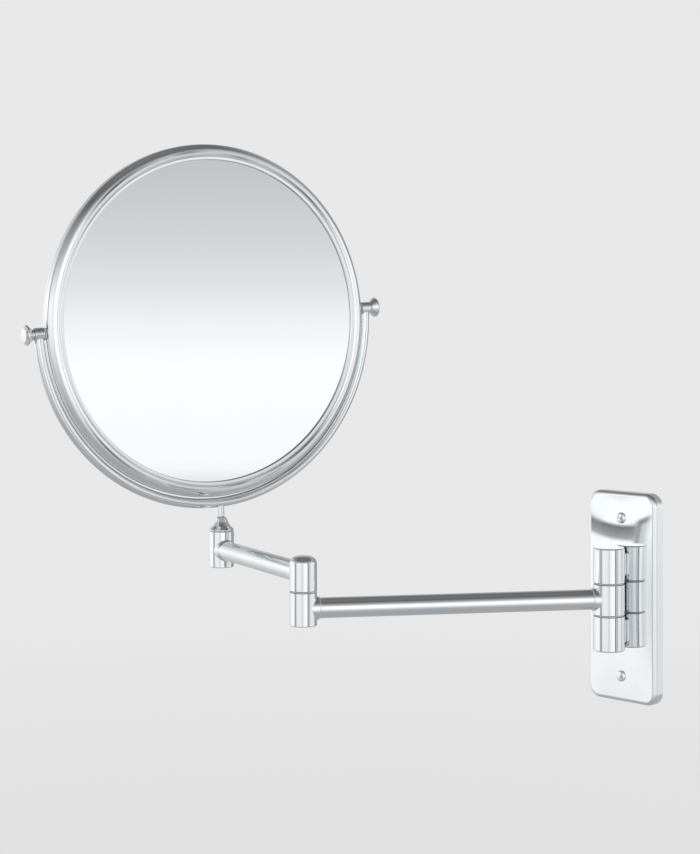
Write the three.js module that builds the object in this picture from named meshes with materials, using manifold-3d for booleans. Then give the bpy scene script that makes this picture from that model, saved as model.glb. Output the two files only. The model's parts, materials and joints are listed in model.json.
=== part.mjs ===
// Extendable shaving mirror for a wall: plate, two folding arms, ball-jointed yoke, two-sided mirror.
// Millimetres, +Z up. The wall is the plane Y = 0 and the mirror stands out from it towards -Y.
import * as THREE from 'three';
import { mergeVertices } from 'three/addons/utils/BufferGeometryUtils.js';
import Module from 'manifold-3d';

const wasm = await Module();
wasm.setup();

// Running and assembly gaps
const GAP = 0.25;

// Wall plate
const PLATE_WIDTH = 51;
const PLATE_HEIGHT = 126;
const PLATE_DEPTH = 8;
const PLATE_CORNER = 8;
const PLATE_EDGE_ROUND = 2.2;
const SCREW_RISE = 47.5;
const SCREW_SHANK = 1.8;
const SCREW_HEAD = 3.3;

// Wall hinge: three knuckles on one upright pin
const WALL_AXIS = 19.2;
const WALL_BARREL = 9.5;
const WALL_BARREL_HALF = 30.7;
const HUB_HALF = 9;
const WASHER = 0.5;
const WALL_PIN = 3.5;
const POST_WIDTH = 9;

// Arms
const ARM_RADIUS = 6;
const ARM_WALL = 1.5;
const LONG_ARM = 185;
const SHORT_ARM = 120;
const SHORT_ARM_RISE = 20.5;

// Elbow: a lower knuckle on the long arm, a capped upper knuckle on the short arm
const BARREL = 8;
const ELBOW_LOW = -10;
const ELBOW_SPLIT = 9.65;
const ELBOW_SHOULDER = 25.8;
const ELBOW_TOP = 30.8;
const ELBOW_PIN = 3;

// Head swivel and ball joint
const HEAD_BARREL_LOW = 9.5;
const HEAD_BARREL_TOP = 32.2;
const SPINDLE = 3.3;
const BALL_RISE = 34.8;
const BALL = 3.4;
const CONE_TOP = 40.6;
const CONE_MOUTH = 2.75;
const STUD_NECK = 2.05;
const STUD_TOP = 42;
const STEM = 2.4;

// Yoke and pivots
const YOKE_BEND = 115.2;
const YOKE_TUBE = 3.1;
const HEAD_RISE = 130.9;
const BOSS = 4;
const BOSS_INNER = 112.2;
const BOSS_OUTER = 118.6;
const PIVOT_PIN = 2;
const KNOB_INNER = 118.8;

// Mirror
const FRAME_RADIUS = 111.2;
const FRAME_HALF = 7;
const SIGHT_RADIUS = 101;
const GLASS_RADIUS = 103;
const GLASS = 1.8;
const GLASS_FACE = 5.2;
const MAGNIFIER_CURVE = 2000;

// Stored pose: headings of the arms and of the mirror's right-hand side, and the yoke's lean
const LONG_ARM_HEADING = -123;
const SHORT_ARM_HEADING = 163;
const HEAD_HEADING = 77.3;
const HEAD_LEAN = -3.8;

const RING_SEGMENTS = 48;
const BARREL_SEGMENTS = 24;
const SMALL_SEGMENTS = 20;

const radians = THREE.MathUtils.degToRad;

const chrome = { color: 0xd6dadd, roughness: 0.08, metalness: 1 };
const steel = { color: 0xb4b8bb, roughness: 0.3, metalness: 1 };
const brass = { color: 0xc2a35a, roughness: 0.35, metalness: 1 };
const mirror = { color: 0xeef2f4, roughness: 0.02, metalness: 1 };
const nylon = { color: 0xd9d9d4, roughness: 0.6, metalness: 0 };
const foam = { color: 0x2b2d2f, roughness: 0.9, metalness: 0 };

// A solid turned about Z from [radius, height] points that run upwards on the outside
function turned(points, segments = BARREL_SEGMENTS) {
  const closed = points[0][0] > 0 ? [...points, points[0]] : points;
  const profile = closed.map(([r, z]) => new THREE.Vector2(r, z));
  return new THREE.LatheGeometry(profile, segments).rotateX(Math.PI / 2);
}

function rod(radius, low, high, segments = SMALL_SEGMENTS) {
  return turned([[0, low], [radius, low], [radius, high], [0, high]], segments);
}

function washer(inner, outer, low, high) {
  return turned([[inner, low], [outer, low], [outer, high], [inner, high]], SMALL_SEGMENTS);
}

function box(x, y, z) {
  const size = [x, y, z].map(([low, high]) => high - low);
  const middle = [x, y, z].map(([low, high]) => (high + low) / 2);
  return new THREE.BoxGeometry(...size).translate(...middle);
}

// From a body of revolution about Z to one about X, or about -Y so that heights point away from the wall
const alongX = (geometry) => geometry.rotateY(Math.PI / 2);
const outwards = (geometry) => geometry.rotateX(Math.PI / 2);

function solid(geometry) {
  const bare = geometry.clone();
  bare.deleteAttribute('normal');
  bare.deleteAttribute('uv');
  const welded = mergeVertices(bare, 1e-4);
  return new wasm.Manifold(new wasm.Mesh({
    numProp: 3,
    vertProperties: new Float32Array(welded.attributes.position.array),
    triVerts: new Uint32Array(welded.index.array),
  }));
}

function shape(manifold) {
  const mesh = manifold.getMesh();
  const geometry = new THREE.BufferGeometry();
  geometry.setAttribute('position', new THREE.BufferAttribute(mesh.vertProperties, 3));
  geometry.setIndex(new THREE.BufferAttribute(mesh.triVerts, 1));
  geometry.computeVertexNormals();
  return geometry;
}

function joined(first, ...others) {
  return shape(others.reduce((sum, other) => sum.add(solid(other)), solid(first)));
}

function cut(body, ...tools) {
  return shape(tools.reduce((left, tool) => left.subtract(solid(tool)), solid(body)));
}

function add(parent, name, geometry, finish) {
  const mesh = new THREE.Mesh(geometry, new THREE.MeshStandardMaterial(finish));
  mesh.name = name;
  parent.add(mesh);
  return mesh;
}

// ---- Wall plate and its screws ----

// A countersunk screw, or with some clearance the hole that it goes through
function screwProfile(foot, clearance) {
  return [
    [0, foot],
    [SCREW_SHANK + clearance, foot],
    [SCREW_SHANK + clearance, PLATE_DEPTH - 2.2],
    [SCREW_HEAD + clearance, PLATE_DEPTH - 0.3],
    [SCREW_HEAD + clearance, PLATE_DEPTH + clearance],
  ];
}

function wallPlate() {
  const w = PLATE_WIDTH / 2;
  const h = PLATE_HEIGHT / 2;
  const r = PLATE_CORNER;
  const outline = new THREE.Shape();
  outline.moveTo(w - r, -h);
  outline.absarc(w - r, -h + r, r, -Math.PI / 2, 0);
  outline.absarc(w - r, h - r, r, 0, Math.PI / 2);
  outline.absarc(-w + r, h - r, r, Math.PI / 2, Math.PI);
  outline.absarc(-w + r, -h + r, r, Math.PI, 1.5 * Math.PI);
  const slab = new THREE.ExtrudeGeometry(outline, {
    depth: PLATE_DEPTH,
    curveSegments: 4,
    bevelThickness: PLATE_EDGE_ROUND,
    bevelSize: PLATE_EDGE_ROUND,
    bevelOffset: -PLATE_EDGE_ROUND,
    bevelSegments: 3,
  }).translate(0, 0, -PLATE_EDGE_ROUND);
  const behind = box([-w - 1, w + 1], [-h - 1, h + 1], [-2 * PLATE_EDGE_ROUND - 1, 0]);
  const holes = [SCREW_RISE, -SCREW_RISE].map((rise) => (
    turned([...screwProfile(-1, GAP), [0, PLATE_DEPTH + GAP]], SMALL_SEGMENTS).translate(0, rise, 0)
  ));
  return outwards(cut(slab, behind, ...holes));
}

const group = new THREE.Group();

const wall = new THREE.Group();
group.add(wall);
add(wall, 'wall_plate', wallPlate(), chrome);

const screw = [...screwProfile(0.5, 0), [2.1, PLATE_DEPTH + 0.6], [0, PLATE_DEPTH + 1]];
for (const [name, rise] of [['wall_screw_top', SCREW_RISE], ['wall_screw_bottom', -SCREW_RISE]]) {
  add(wall, name, outwards(turned(screw, SMALL_SEGMENTS)), chrome).position.z = rise;
}

// ---- Wall hinge ----

const wallHinge = new THREE.Group();
wallHinge.position.y = -WALL_AXIS;
wall.add(wallHinge);

const KNUCKLE_LOW = HUB_HALF + WASHER + 2 * GAP;
const postBack = WALL_AXIS - PLATE_DEPTH - GAP;

// Upper knuckle: blind from below, joined to the plate by a post
function upperKnuckle() {
  const barrel = turned([
    [0, KNUCKLE_LOW],
    [WALL_BARREL, KNUCKLE_LOW],
    [WALL_BARREL, WALL_BARREL_HALF - 0.8],
    [WALL_BARREL - 0.8, WALL_BARREL_HALF],
    [0, WALL_BARREL_HALF],
  ]);
  const post = box([-POST_WIDTH / 2, POST_WIDTH / 2], [5, postBack], [13, 27]);
  const bore = rod(WALL_PIN + 0.1, KNUCKLE_LOW - 1, WALL_BARREL_HALF - 3);
  return cut(joined(barrel, post), bore);
}

add(wallHinge, 'wall_knuckle_top', upperKnuckle(), chrome);

// Lower knuckle: the same piece turned over, bored right through for the pin and its head
function lowerKnuckle() {
  const barrel = turned([
    [0, -WALL_BARREL_HALF],
    [WALL_BARREL - 0.8, -WALL_BARREL_HALF],
    [WALL_BARREL, -WALL_BARREL_HALF + 0.8],
    [WALL_BARREL, -KNUCKLE_LOW],
    [0, -KNUCKLE_LOW],
  ]);
  const post = box([-POST_WIDTH / 2, POST_WIDTH / 2], [5, postBack], [-27, -13]);
  const bore = rod(WALL_PIN + 0.1, -WALL_BARREL_HALF - 1, -KNUCKLE_LOW + 1);
  const seat = rod(6.2, -WALL_BARREL_HALF - 1, -WALL_BARREL_HALF + 3);
  return cut(joined(barrel, post), bore, seat);
}

add(wallHinge, 'wall_knuckle_bottom', lowerKnuckle(), chrome);

const headTop = -WALL_BARREL_HALF + 3 - GAP;
add(wallHinge, 'wall_hinge_pin', turned([
  [0, -WALL_BARREL_HALF + 0.4],
  [6, -WALL_BARREL_HALF + 0.4],
  [6, headTop],
  [WALL_PIN, headTop],
  [WALL_PIN, WALL_BARREL_HALF - 3.4],
  [0, WALL_BARREL_HALF - 3.4],
], SMALL_SEGMENTS), steel);

for (const [name, low] of [
  ['wall_washer_top', HUB_HALF + GAP],
  ['wall_washer_bottom', -HUB_HALF - GAP - WASHER],
]) {
  add(wallHinge, name, washer(WALL_PIN + 0.3, WALL_BARREL - 0.4, low, low + WASHER), nylon);
}

// ---- Long arm ----

const longArm = new THREE.Group();
longArm.position.y = -WALL_AXIS;
longArm.rotation.z = radians(LONG_ARM_HEADING);
group.add(longArm);

// A hollow arm between two upright barrels, its ends coped to them, with a flared collar at each end
function armTube(length, near, far) {
  const low = near + GAP + 1.6;
  const high = length - far - GAP - 1.6;
  return alongX(turned([
    [ARM_RADIUS - ARM_WALL, low],
    [ARM_RADIUS, low],
    [ARM_RADIUS, high],
    [ARM_RADIUS - ARM_WALL, high],
  ]));
}

function armCollar(barrel, start) {
  const flare = alongX(turned([
    [ARM_RADIUS - 2.2, 0],
    [ARM_RADIUS + 0.8, 0],
    [ARM_RADIUS + 0.7, barrel],
    [ARM_RADIUS + 0.1, barrel + 1.6],
    [ARM_RADIUS - 2.2, barrel + 1.6],
  ]));
  const core = rod(barrel + GAP, -20, 20, BARREL_SEGMENTS);
  const collar = cut(flare, core);
  return start ? collar : collar.rotateZ(Math.PI);
}

add(longArm, 'long_arm_hub', turned([
  [WALL_PIN + 0.1, -HUB_HALF],
  [WALL_BARREL, -HUB_HALF],
  [WALL_BARREL, HUB_HALF],
  [WALL_PIN + 0.1, HUB_HALF],
]), chrome);
add(longArm, 'long_arm_collar_wall', armCollar(WALL_BARREL, true), chrome);
add(longArm, 'long_arm_tube', armTube(LONG_ARM, WALL_BARREL, BARREL), chrome);
add(longArm, 'long_arm_collar_elbow', armCollar(BARREL, false), chrome).position.x = LONG_ARM;

const elbow = new THREE.Group();
elbow.position.x = LONG_ARM;
longArm.add(elbow);

add(elbow, 'elbow_knuckle_lower', turned([
  [ELBOW_PIN + 0.1, ELBOW_LOW + 3],
  [5.6, ELBOW_LOW + 3],
  [5.6, ELBOW_LOW],
  [BARREL - 0.6, ELBOW_LOW],
  [BARREL, ELBOW_LOW + 0.6],
  [BARREL, ELBOW_SPLIT - GAP],
  [ELBOW_PIN + 0.1, ELBOW_SPLIT - GAP],
]), chrome);
add(elbow, 'elbow_pin', turned([
  [0, ELBOW_LOW + 0.4],
  [5.3, ELBOW_LOW + 0.4],
  [5.3, ELBOW_LOW + 3 - GAP],
  [ELBOW_PIN, ELBOW_LOW + 3 - GAP],
  [ELBOW_PIN, 24.6],
  [0, 24.6],
], SMALL_SEGMENTS), steel);
add(elbow, 'elbow_washer', washer(
  ELBOW_PIN + 0.3,
  BARREL - 0.4,
  ELBOW_SPLIT,
  ELBOW_SPLIT + WASHER,
), nylon);

// ---- Short arm ----

const shortArm = new THREE.Group();
shortArm.position.x = LONG_ARM;
shortArm.rotation.z = radians(SHORT_ARM_HEADING - LONG_ARM_HEADING);
longArm.add(shortArm);

const ELBOW_UPPER_LOW = ELBOW_SPLIT + WASHER + GAP;
add(shortArm, 'elbow_knuckle_upper', turned([
  [0, 25],
  [ELBOW_PIN + 0.1, 25],
  [ELBOW_PIN + 0.1, ELBOW_UPPER_LOW],
  [BARREL, ELBOW_UPPER_LOW],
  [BARREL, ELBOW_SHOULDER],
  [BARREL - 0.6, ELBOW_SHOULDER + 2.2],
  [BARREL - 2.2, ELBOW_TOP - 1.2],
  [BARREL - 4.6, ELBOW_TOP - 0.3],
  [0, ELBOW_TOP],
]), chrome);

const shortTube = new THREE.Group();
shortTube.position.z = SHORT_ARM_RISE;
shortArm.add(shortTube);
add(shortTube, 'short_arm_collar_elbow', armCollar(BARREL, true), chrome);
add(shortTube, 'short_arm_tube', armTube(SHORT_ARM, BARREL, BARREL), chrome);
add(shortTube, 'short_arm_collar_head', armCollar(BARREL, false), chrome).position.x = SHORT_ARM;

add(shortArm, 'head_barrel', turned([
  [SPINDLE + 0.1, HEAD_BARREL_LOW + 3.2],
  [6.2, HEAD_BARREL_LOW + 3.2],
  [6.2, HEAD_BARREL_LOW],
  [BARREL - 0.5, HEAD_BARREL_LOW],
  [BARREL, HEAD_BARREL_LOW + 0.5],
  [BARREL, HEAD_BARREL_TOP],
  [6.2, HEAD_BARREL_TOP],
  [6.2, 27],
  [SPINDLE + 0.1, 27],
]), chrome).position.x = SHORT_ARM;

// ---- Head swivel: a spindle in the head barrel, with a cone that clasps the ball ----

const swivel = new THREE.Group();
swivel.position.x = SHORT_ARM;
swivel.rotation.z = radians(HEAD_HEADING - SHORT_ARM_HEADING);
shortArm.add(swivel);

// Points on a socket of the given radius round the ball's centre, from one height to another
function socket(radius, from, to, steps) {
  return Array.from({ length: steps + 1 }, (_, i) => {
    const height = from + (to - from) * i / steps;
    return [Math.sqrt(Math.max(radius ** 2 - height ** 2, 0)), BALL_RISE + height];
  });
}

const SOCKET = BALL + GAP;
const SPINDLE_TOP = 33;
add(swivel, 'swivel_spindle', turned([
  [0, 22],
  [2.1, 22],
  [2.1, 12.95],
  [SPINDLE, 12.95],
  [SPINDLE, 27.25],
  [5.9, 27.25],
  [5.9, SPINDLE_TOP],
  ...socket(SOCKET, SPINDLE_TOP - BALL_RISE, -SOCKET, 4),
], SMALL_SEGMENTS), steel);

const CONE_BASE = HEAD_BARREL_TOP + GAP;
const mouthHeight = Math.sqrt(SOCKET ** 2 - CONE_MOUTH ** 2);
add(swivel, 'swivel_cone', turned([
  [6.15, CONE_BASE],
  [7.7, CONE_BASE],
  [7.9, CONE_BASE + 0.9],
  [6.6, 34.5],
  [5.3, 36],
  [4.4, 37.5],
  [3.8, 39],
  [3.3, CONE_TOP],
  [CONE_MOUTH, CONE_TOP],
  ...socket(SOCKET, mouthHeight, SPINDLE_TOP + GAP - BALL_RISE, 5),
  [6.15, SPINDLE_TOP + GAP],
], SMALL_SEGMENTS), chrome);

add(swivel, 'swivel_washer', washer(SPINDLE + 0.2, 5.9, 12, 12.45), nylon);
add(swivel, 'swivel_screw', turned([
  [0, 9.9],
  [5.8, 9.9],
  [5.8, 11.75],
  [1.9, 11.75],
  [1.9, 21.5],
  [0, 21.5],
], SMALL_SEGMENTS), steel);

// ---- Yoke on its ball stud ----

const head = new THREE.Group();
head.position.z = BALL_RISE;
head.rotation.y = radians(HEAD_LEAN);
swivel.add(head);

const studTop = STUD_TOP - BALL_RISE;
const neckHeight = Math.sqrt(BALL ** 2 - STUD_NECK ** 2);
const ball = Array.from({ length: 8 }, (_, i) => {
  const height = -BALL + (neckHeight + BALL) * i / 7;
  return [Math.sqrt(Math.max(BALL ** 2 - height ** 2, 0)), height];
});
add(head, 'ball_stud', turned([
  ...ball,
  [STUD_NECK, 6.2],
  [STEM, 6.7],
  [STEM, studTop],
  [0, studTop],
], SMALL_SEGMENTS), chrome);

class HalfCircle extends THREE.Curve {
  getPoint(t) {
    const angle = Math.PI * (1 + t);
    return new THREE.Vector3(YOKE_BEND * Math.cos(angle), 0, YOKE_BEND * Math.sin(angle));
  }
}

function yoke() {
  const section = new THREE.Shape().absarc(0, 0, YOKE_TUBE, 0, 2 * Math.PI);
  const bow = new THREE.ExtrudeGeometry(section, {
    steps: 36,
    curveSegments: 6,
    bevelEnabled: false,
    extrudePath: new HalfCircle(),
  });
  const bosses = [1, -1].map((side) => alongX(rod(
    BOSS,
    Math.min(side * BOSS_INNER, side * BOSS_OUTER),
    Math.max(side * BOSS_INNER, side * BOSS_OUTER),
    24,
  )));
  const stem = rod(STEM, studTop + GAP - HEAD_RISE, -YOKE_BEND);
  const bore = alongX(rod(PIVOT_PIN + 0.1, -130, 130));
  return cut(joined(bow, ...bosses, stem), bore);
}

const headFrame = new THREE.Group();
headFrame.position.z = HEAD_RISE;
head.add(headFrame);
add(headFrame, 'yoke', yoke(), chrome);

// ---- Two-sided mirror ----

const mirrorGroup = new THREE.Group();
headFrame.add(mirrorGroup);

// One half of the frame: a rolled channel whose lip holds the glass. side is 1 for the front half, -1 for the back.
function frameHalf(side) {
  const channel = [
    [FRAME_RADIUS, 0.15],
    [FRAME_RADIUS - 0.2, 1.8],
    [FRAME_RADIUS - 1.4, 3.9],
    [FRAME_RADIUS - 3.4, FRAME_HALF - 0.6],
    [FRAME_RADIUS - 5.6, FRAME_HALF],
    [GLASS_RADIUS + 1, FRAME_HALF - 0.6],
    [GLASS_RADIUS + 0.4, FRAME_HALF - 0.4],
    [SIGHT_RADIUS + 0.6, FRAME_HALF - 0.5],
    [SIGHT_RADIUS, GLASS_FACE + GAP],
    [GLASS_RADIUS + GAP, GLASS_FACE + GAP],
    [GLASS_RADIUS + GAP, 0.15],
    [GLASS_RADIUS + 1.3, 0.15],
    [GLASS_RADIUS + 1.3, FRAME_HALF - 1.8],
    [GLASS_RADIUS + 2.8, FRAME_HALF - 1.2],
    [GLASS_RADIUS + 4.4, FRAME_HALF - 1.7],
    [FRAME_RADIUS - 2.2, 3.4],
    [FRAME_RADIUS - 1.4, 0.15],
  ];
  const points = channel.map(([r, t]) => [r, side * t]);
  const ring = turned(side > 0 ? points : points.reverse(), RING_SEGMENTS);
  const pivots = alongX(rod(PIVOT_PIN + 0.2, -120, 120));
  return outwards(cut(ring, outwards(pivots)));
}

add(mirrorGroup, 'frame_front', frameHalf(1), chrome);
add(mirrorGroup, 'frame_back', frameHalf(-1), chrome);
add(mirrorGroup, 'plain_glass', outwards(
  rod(GLASS_RADIUS, GLASS_FACE - GLASS, GLASS_FACE, RING_SEGMENTS),
), mirror);

// Height of the magnifier's hollow face below its rim plane
const hollow = (r) => (
  Math.sqrt(MAGNIFIER_CURVE ** 2 - r ** 2) - Math.sqrt(MAGNIFIER_CURVE ** 2 - GLASS_RADIUS ** 2)
);
const radii = [0, 34, 68, GLASS_RADIUS];
const curve = (offset) => radii.map((r) => [r, -GLASS_FACE + offset + hollow(r)]);
add(mirrorGroup, 'magnifying_glass', outwards(
  turned([...curve(0), ...curve(GLASS).reverse()], RING_SEGMENTS),
), mirror);
add(mirrorGroup, 'backing_pad', outwards(turned([
  ...curve(GLASS + GAP),
  [GLASS_RADIUS, GLASS_FACE - GLASS - GAP],
  [0, GLASS_FACE - GLASS - GAP],
], RING_SEGMENTS)), foam);

for (const [side, turn] of [['right', 0], ['left', Math.PI]]) {
  const pivot = new THREE.Group();
  pivot.rotation.z = turn;
  mirrorGroup.add(pivot);
  add(pivot, `pivot_nut_${side}`, alongX(washer(PIVOT_PIN + 0.1, 2.9, GLASS_RADIUS + 1.6, GLASS_RADIUS + 4.6)), brass);
  add(pivot, `pivot_pin_${side}`, alongX(rod(PIVOT_PIN, GLASS_RADIUS + 1.8, KNOB_INNER + 3.1)), steel);
  add(pivot, `pivot_washer_${side}`, alongX(washer(PIVOT_PIN + 0.2, 3.7, FRAME_RADIUS + 0.2, FRAME_RADIUS + 0.65)), nylon);
  add(pivot, `pivot_knob_${side}`, alongX(turned([
    [PIVOT_PIN + 0.1, 0],
    [3.4, 0],
    [3.5, 0.8],
    [4.3, 1.9],
    [5.7, 3.4],
    [6.3, 4.3],
    [5.9, 5.3],
    [4.2, 6],
    [0, 6.4],
    [0, 3.4],
    [PIVOT_PIN + 0.1, 3.4],
  ], SMALL_SEGMENTS)).translate(KNOB_INNER, 0, 0), chrome);
}

export default group;
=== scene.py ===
import json
import math

import bpy
from mathutils import Matrix, Vector
from mathutils.bvhtree import BVHTree
from mathutils.geometry import barycentric_transform


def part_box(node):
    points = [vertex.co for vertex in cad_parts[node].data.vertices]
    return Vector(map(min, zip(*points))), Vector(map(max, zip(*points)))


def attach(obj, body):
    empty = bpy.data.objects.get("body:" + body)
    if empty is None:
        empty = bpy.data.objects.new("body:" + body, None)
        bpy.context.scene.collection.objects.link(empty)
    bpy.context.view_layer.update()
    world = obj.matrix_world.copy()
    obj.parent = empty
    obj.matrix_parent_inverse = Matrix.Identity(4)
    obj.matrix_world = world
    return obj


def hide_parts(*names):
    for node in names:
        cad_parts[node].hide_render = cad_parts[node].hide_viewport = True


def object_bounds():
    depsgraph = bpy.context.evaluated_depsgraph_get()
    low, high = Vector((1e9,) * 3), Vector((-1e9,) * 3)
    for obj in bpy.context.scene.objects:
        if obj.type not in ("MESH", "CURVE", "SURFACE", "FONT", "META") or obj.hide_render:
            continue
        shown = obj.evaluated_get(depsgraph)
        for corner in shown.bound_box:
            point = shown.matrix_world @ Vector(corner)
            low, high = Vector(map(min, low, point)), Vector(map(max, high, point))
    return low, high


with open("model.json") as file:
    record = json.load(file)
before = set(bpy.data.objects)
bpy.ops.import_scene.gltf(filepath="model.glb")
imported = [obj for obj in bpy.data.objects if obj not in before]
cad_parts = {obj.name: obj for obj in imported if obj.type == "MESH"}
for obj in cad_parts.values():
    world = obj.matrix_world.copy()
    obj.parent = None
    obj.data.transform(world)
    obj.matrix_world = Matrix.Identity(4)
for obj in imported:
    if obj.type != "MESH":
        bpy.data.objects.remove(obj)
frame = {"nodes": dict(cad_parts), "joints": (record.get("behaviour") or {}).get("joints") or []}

CAD_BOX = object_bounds()

# Shapes below are in millimetres, in the frame of their own axis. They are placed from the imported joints.
MM = 0.001

GAP = 0.25
PLATE_WIDTH = 51
PLATE_HEIGHT = 126
PLATE_DEPTH = 8
PLATE_CORNER = 8
SCREW_RISE = 47.5
SCREW_HEAD = 3.3
WALL_BARREL = 9.5
WALL_BARREL_HALF = 30.7
HUB_HALF = 9
WASHER = 0.5
POST_WIDTH = 9
POST_LOW = 13
POST_HIGH = 27
WALL_PIN = 3.5
ARM_RADIUS = 6
BARREL = 8
ELBOW_LOW = -10
ELBOW_SPLIT = 9.65
ELBOW_TOP = 30.8
ELBOW_PIN = 3
SHORT_ARM_RISE = 20.5
HEAD_BARREL_LOW = 9.5
HEAD_BARREL_TOP = 32.2
CONE_TOP = 40.6
CONE_MOUTH = 2.75
STUD_NECK = 2.05
STUD_TOP = 42
STEM = 2.4
YOKE_BEND = 115.2
YOKE_TUBE = 3.1
BOSS = 4
BOSS_INNER = 112.2
BOSS_OUTER = 118.6
KNOB_INNER = 118.8
PIVOT_PIN = 2
FRAME_RADIUS = 111.2
FRAME_HALF = 7
SIGHT_RADIUS = 101
GLASS_RADIUS = 103
GLASS = 1.8
GLASS_FACE = 5.2
MAGNIFIER_CURVE = 2000

# Room round a pin in its bore, and the depth of the pockets that take the heads of the hinge and elbow pins
PIN_ROOM = 0.1
POCKET_DEPTH = 3
WIDE_POCKET = 6.2

RING_STEPS = 256
BARREL_STEPS = 96
SMALL_STEPS = 64


# ---- Places, from the frame ----

def joint(name):
    return next(j for j in frame["joints"] if j["name"] == name)


def spot(name):
    return Vector(joint(name)["pos_m"])


def placed(origin, x_axis, y_axis=None):
    """The matrix of a frame at origin, with upright Z unless y_axis is given too."""
    x = Vector(x_axis).normalized()
    z = x.cross(y_axis).normalized() if y_axis else Vector((0, 0, 1))
    y = z.cross(x).normalized()
    return Matrix.Translation(origin) @ Matrix((x, y, z)).transposed().to_4x4()


mirror_axis = Vector(joint("mirror_tilt")["axis"])
lean_axis = Vector(joint("head_lean")["axis"])
long_way = spot("elbow_fold") - spot("wall_swing")
short_way = spot("head_swivel") - spot("elbow_fold")
LONG_ARM = long_way.length / MM
SHORT_ARM = short_way.length / MM
BALL_RISE = (spot("head_lean") - spot("head_swivel")).length / MM
HEAD_RISE = (spot("mirror_tilt") - spot("head_lean")).length / MM

WALL = placed(spot("wall_swing"), (1, 0, 0))
LONG = placed(spot("wall_swing"), long_way)
ELBOW = placed(spot("elbow_fold"), long_way)
SHORT = placed(spot("elbow_fold"), short_way)
SWIVEL = placed(spot("head_swivel"), (mirror_axis.x, mirror_axis.y, 0))
BALL = placed(spot("head_lean"), mirror_axis, lean_axis)
MIRROR = placed(spot("mirror_tilt"), mirror_axis, lean_axis)

# Turns a shape's own axis from +Z to +X or, for the plate and the discs, to -Y
ALONG_X = Matrix.Rotation(math.pi / 2, 4, "Y")
OUTWARDS = Matrix.Rotation(math.pi / 2, 4, "X")
FLIPPED = Matrix.Rotation(math.pi, 4, "Z")


# ---- Materials ----

def finish_nodes(name, metallic, colour, rough):
    """A material with a Principled shader and object coordinates, in millimetres, to build on."""
    material = bpy.data.materials.new(name)
    material.use_nodes = True
    tree = material.node_tree
    shader = tree.nodes["Principled BSDF"]
    shader.inputs["Metallic"].default_value = metallic
    shader.inputs["Base Color"].default_value = (*colour, 1)
    shader.inputs["Roughness"].default_value = rough
    coordinates = tree.nodes.new("ShaderNodeTexCoord")
    scale = tree.nodes.new("ShaderNodeVectorMath")
    scale.operation = "SCALE"
    scale.inputs["Scale"].default_value = 1 / MM
    tree.links.new(coordinates.outputs["Object"], scale.inputs[0])
    return material, tree, shader, scale.outputs[0]


def noise(tree, vector, size, detail=3, stretch=(1, 1, 1)):
    """Noise whose blobs are about size millimetres across."""
    mapping = tree.nodes.new("ShaderNodeMapping")
    mapping.inputs["Scale"].default_value = [s / size for s in stretch]
    texture = tree.nodes.new("ShaderNodeTexNoise")
    texture.inputs["Scale"].default_value = 1
    texture.inputs["Detail"].default_value = detail
    tree.links.new(vector, mapping.inputs["Vector"])
    tree.links.new(mapping.outputs[0], texture.inputs["Vector"])
    return texture.outputs["Fac"]


def spread(tree, value, low, high, from_low=0.3, from_high=0.7):
    """value mapped smoothly on to low..high."""
    node = tree.nodes.new("ShaderNodeMapRange")
    node.interpolation_type = "SMOOTHSTEP"
    node.inputs["From Min"].default_value = from_low
    node.inputs["From Max"].default_value = from_high
    node.inputs["To Min"].default_value = low
    node.inputs["To Max"].default_value = high
    tree.links.new(value, node.inputs["Value"])
    return node.outputs["Result"]


def tinted(tree, value, first, second):
    """The colour first where value is 0 and second where it is 1."""
    node = tree.nodes.new("ShaderNodeMix")
    node.data_type = "RGBA"
    node.inputs["A"].default_value = (*first, 1)
    node.inputs["B"].default_value = (*second, 1)
    tree.links.new(value, node.inputs["Factor"])
    return node.outputs["Result"]


def bumped(tree, shader, height, depth):
    """Relief of depth millimetres."""
    bump = tree.nodes.new("ShaderNodeBump")
    bump.inputs["Strength"].default_value = 1
    bump.inputs["Distance"].default_value = depth * MM
    tree.links.new(height, bump.inputs["Height"])
    tree.links.new(bump.outputs["Normal"], shader.inputs["Normal"])


def chrome(name, rough):
    """Bright chrome plate: a little cool, with faint smears that spread its reflections here and there."""
    material, tree, shader, at = finish_nodes(name, 1, (0.83, 0.85, 0.86), rough)
    smear = noise(tree, at, 22, detail=5, stretch=(1, 1, 0.6))
    grain = noise(tree, at, 1.2, detail=2)
    tree.links.new(spread(tree, smear, rough * 0.85, rough * 1.25, 0.35, 0.75), shader.inputs["Roughness"])
    tone = tinted(tree, spread(tree, smear, 0, 1), (0.84, 0.86, 0.87), (0.80, 0.825, 0.84))
    tree.links.new(tone, shader.inputs["Base Color"])
    bumped(tree, shader, grain, 0.0006)
    return material


def silvered():
    """Mirror glass: silver seen through thin glass, clear but for a trace of wiping."""
    material, tree, shader, at = finish_nodes("mirror", 1, (0.93, 0.95, 0.955), 0.01)
    wiped = noise(tree, at, 45, detail=4, stretch=(1, 1, 0.35))
    tree.links.new(spread(tree, wiped, 0.004, 0.022, 0.4, 0.8), shader.inputs["Roughness"])
    tone = tinted(tree, spread(tree, wiped, 0, 1), (0.93, 0.95, 0.955), (0.915, 0.94, 0.95))
    tree.links.new(tone, shader.inputs["Base Color"])
    return material


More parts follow.
